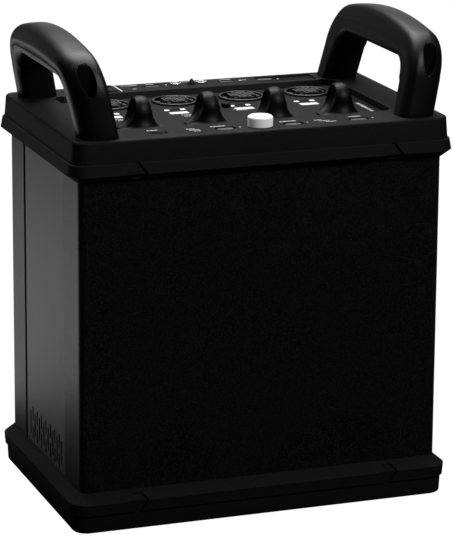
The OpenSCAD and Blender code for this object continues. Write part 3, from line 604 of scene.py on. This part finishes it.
def make_cell():
    """A small four-sided pyramid with a blunt tip."""
    bm = bmesh.new()
    cx, cy = 2.4, 80.6
    rows = []
    # Half diagonal and height over the top face
    for half, z in ((3.6, -0.5), (3.6, 0.6), (3.2, 1.1), (0.9, 4.6), (0.5, 4.9)):
        rows.append([bm.verts.new(((cx + half * x) * MM, (cy + half * y) * MM, DECK + z * MM))
                     for x, y in ((1, 0), (0, 1), (-1, 0), (0, -1))])
    bridge(bm, rows)
    lens = material("cell_lens", grey(0.01), grey(0.02), 0.2, 900, 0.00001)
    piece("cell_window", from_bmesh("cell_window", bm, 20), "slave_cell", mat=lens)


# ---- Recess ----

def make_recess_slope():
    """The recess's rear wall leans back towards the deck."""
    bm = bmesh.new()
    low, high = PANEL / MM, DECK / MM - 0.05
    reach, wall, lip, toe = 109.5, 68.02, 67.7, 65.9
    bridge(bm, [[bm.verts.new((x * MM, y * MM, z * MM))
                 for y, z in ((wall, low), (wall, high), (lip, high - 0.15), (toe, low))]
                for x in (-reach, reach)])
    piece("recess_slope", from_bmesh("recess_slope", bm, 30), "top_bumper", replace=False)


# ---- Print ----

# How far the print goes into the surface and stands proud of it
PRINT_SINK, PRINT_PROUD = 0.02, 0.05
# Rows of dashes as (left end, middle front to back, length, depth), in
# millimetres: first those on the top face, then those on the sunken panel
DECK_ROWS = ((-87, -72.5, 8, 2.2), (-37, -74, 12, 2.2), (19, -74, 13, 2.2),
             (76, -73.5, 9, 2.2), (-57, -76.5, 6, 1.6), (-56, -80.5, 7, 1.6),
             (-53, -84.5, 5, 1.6), (46, -77, 6, 1.6), (49, -80.6, 7, 1.6),
             (53, -84.4, 7, 1.6), (-54, 91.5, 13, 1.6), (-33, 91.5, 6, 1.6),
             (-5, 92.4, 14, 1.6), (30, 91, 9, 1.6), (46, 85, 5, 1.6),
             (-48, 78, 2, 1.6))
PANEL_ROWS = ((-36, -6, 10, 1.8), (-35, -10.5, 9, 1.8), (10, 2.4, 9, 1.8),
              (11, -2, 8, 1.8), (-14, -54.8, 4, 2.4), (-90, -6, 8, 1.8),
              (-89, -10.5, 8, 1.8))
# Width and depth of each mark in the column at the panel's right
COLUMN = ((2.6, 4), (3.2, 3), (2.4, 4), (3.0, 5), (2.6, 3.4), (2.8, 4.4))


def block(bm, x, y, w, d, low, high):
    """Adds an upright block about (x, y), all in millimetres."""
    corners = [(x + sx * w / 2, y + sy * d / 2) for sx, sy in ((-1, -1), (1, -1), (1, 1), (-1, 1))]
    bridge(bm, [[bm.verts.new((a * MM, b * MM, z * MM)) for a, b in corners]
                for z in (low, high)])


def mark(bm, x, y, w, d, level):
    """Adds one mark of print on a surface at a level."""
    block(bm, x, y, w, d, level - PRINT_SINK, level + PRINT_PROUD)


def dashes(bm, x, y, length, tall, level):
    """Adds a row of plain dashes from x on, where a control's label would be."""
    at, k = x, 0
    while at < x + length:
        wide = (1.2, 0.8, 1.5, 1.0)[k % 4]
        mark(bm, at + wide / 2, y, wide, tall, level)
        at += wide + 0.6
        k += 1


def make_print():
    deck, panel = DECK / MM, PANEL / MM
    bm = bmesh.new()
    for row in DECK_ROWS:
        dashes(bm, *row, deck)
    for row in PANEL_ROWS:
        dashes(bm, *row, panel)
    for k, (wide, tall) in enumerate(COLUMN):
        mark(bm, 111.0, -36.0 + 5.6 * k, wide, tall, panel)
    mark(bm, -59.0, 84.8, 1.2, 24.4, deck)
    piece("print_bars", from_bmesh("print_bars", bm), "top_bumper", mat=PRINT, replace=False)


# ---- Painted gap shade round the buttons, and lamps ----

# Half width and depth of a button, and the gap round it; then the painted-shade
# collar's sloping outer edge, its underside and its top over the surface
BUTTON_W, BUTTON_D, BUTTON_GAP = 6.5, 2.7, 0.25
COLLAR_EDGE, COLLAR_LOW, COLLAR_TOP = 0.3, -0.25, 0.03


def pill_ring(bm, x, y, level, grow):
    """Adds a flat pill-shaped collar round a button, with a sloping outer edge: a dark sheet of
    painted shade for the gap round the button.
    """
    rows = []
    steps = 40
    for wider, z in ((BUTTON_GAP, COLLAR_LOW), (BUTTON_GAP, COLLAR_TOP), (grow, COLLAR_TOP),
                     (grow + COLLAR_EDGE, COLLAR_LOW)):
        half_w, half_d = BUTTON_W + wider, BUTTON_D + wider
        ring = []
        for k in range(steps):
            t = math.tau * k / steps
            flat = half_w - half_d
            ring.append(bm.verts.new(((x + math.copysign(flat, math.cos(t))
                                       + half_d * math.cos(t)) * MM,
                                      (y + half_d * math.sin(t)) * MM, (level + z) * MM)))
        rows.append(ring)
    bridge(bm, rows + rows[:1], ends=False)


def make_gap_shade_and_lamps():
    """A dark collar round each small button, painted shade for the gap round it, and a lamp beside
    it. The front strip and the window of the third rear button lie below the top face."""
    deck = DECK / MM
    strip, window = deck - 1.2, deck - 1.0
    bm = bmesh.new()
    lamps = []
    for n in range(1, 4):
        for row, level in (("front", strip), ("rear", deck)):
            low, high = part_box("%s_button_%d" % (row, n))
            x, y = (low[0] + high[0]) / 2 / MM, (low[1] + high[1]) / 2 / MM
            if row == "rear" and n == 3:
                level = window
            pill_ring(bm, x, y, level, 1.1 if row == "front" else 1.8)
            lamps.append((x + 11.5, y, deck if n < 3 or row == "front" else window))
    # Dark collars of painted shade round the buttons
    piece("button_gap_shade", from_bmesh("button_gap_shade", bm), "top_bumper", mat=GAP_SHADE, replace=False)
    dots = [(0, -0.1), (0.75, -0.1), (0.75, 0.1), (0.5, 0.32), (0, 0.4)]
    piece("status_dots", lathe("status_dots", [(a * MM, b * MM) for a, b in dots],
                               [(x * MM, y * MM, z * MM) for x, y, z in lamps], 16),
          "top_bumper", mat=PRINT, replace=False)


# ---- Stage ----

def for_camera(tree, shader, strength, add):
    """Gives camera rays a plain white, added to the shader or instead of it."""
    white = tree.nodes.new("ShaderNodeEmission")
    white.inputs["Strength"].default_value = strength
    seen = white.outputs["Emission"]
    if add:
        both = tree.nodes.new("ShaderNodeAddShader")
        tree.links.new(shader, both.inputs[0])
        tree.links.new(seen, both.inputs[1])
        seen = both.outputs["Shader"]
    ray = tree.nodes.new("ShaderNodeLightPath")
    mix = tree.nodes.new("ShaderNodeMixShader")
    tree.links.new(ray.outputs["Is Camera Ray"], mix.inputs["Fac"])
    tree.links.new(shader, mix.inputs[1])
    tree.links.new(seen, mix.inputs[2])
    return mix.outputs["Shader"]


def make_stage():
    mesh = bpy.data.meshes.new("floor")
    far = 12.0
    mesh.from_pydata([(-far, -far, 0), (far, -far, 0), (far, far, 0), (-far, far, 0)], [],
                     [(0, 1, 2, 3)])
    mat = bpy.data.materials.new("floor")
    mat.use_nodes = True
    tree = mat.node_tree
    bsdf = tree.nodes["Principled BSDF"]
    bsdf.inputs["Base Color"].default_value = (*grey(FLOOR_GREY), 1)
    bsdf.inputs["Roughness"].default_value = 0.9
    bsdf.inputs["Specular IOR Level"].default_value = 0.1
    tree.links.new(for_camera(tree, bsdf.outputs["BSDF"], 1.0, True),
                   tree.nodes["Material Output"].inputs["Surface"])
    mesh.materials.append(mat)
    floor = bpy.data.objects.new("floor", mesh)
    bpy.context.scene.collection.objects.link(floor)


def soft_box(name, place, target, width, height, power):
    data = bpy.data.lights.new(name, "AREA")
    data.shape = "RECTANGLE"
    data.size = width
    data.size_y = height
    data.energy = power
    lamp = bpy.data.objects.new(name, data)
    bpy.context.scene.collection.objects.link(lamp)
    lamp.location = place
    lamp.visible_camera = False
    aim = Vector(target) - Vector(place)
    lamp.rotation_euler = aim.to_track_quat("-Z", "Y").to_euler()


def make_light():
    scene = bpy.context.scene
    scene.view_settings.view_transform = "Standard"
    world = bpy.data.worlds.new("studio")
    scene.world = world
    world.use_nodes = True
    tree = world.node_tree
    back = tree.nodes["Background"]
    back.inputs["Color"].default_value = (1, 1, 1, 1)
    back.inputs["Strength"].default_value = WORLD
    shader = for_camera(tree, back.outputs["Background"], 1.0, False)
    tree.links.new(shader, tree.nodes["World Output"].inputs["Surface"])
    for box in BOXES:
        soft_box(*box)


# ---- The scene ----

# How far the edges of the nodes that keep their CAD shape are rounded, in
# millimetres
SOFT_EDGES = {"base_bumper": 0.6, "top_bumper": 0.6, "left_side_panel": 0.3,
              "right_side_panel": 0.3, "rear_console": 0.35, "rocker_bezel": 0.4,
              "power_rocker": 0.5, "sync_jacks": 0.4, "mains_inlet": 0.6,
              "display_bars": 0.4, "channel_windows": 0.3, "channel_lamps": 0.3}
for row in ("front", "rear"):
    for n in range(1, 4):
        SOFT_EDGES["%s_button_%d" % (row, n)] = 0.8

make_camera()
make_stage()
make_light()
for node, width in SOFT_EDGES.items():
    softened(node, width * MM)
softened("contact_blocks", 0.35 * MM, TOWER)
softened("usb_socket", 0.25 * MM, JACK)
make_handle("handle_left", -1, "left_handle")
make_handle("handle_right", 1, "right_handle")
make_plugs()
make_dials()
make_sockets()
make_recess_slope()
make_test_button()
make_cell()
make_print()
make_gap_shade_and_lamps()
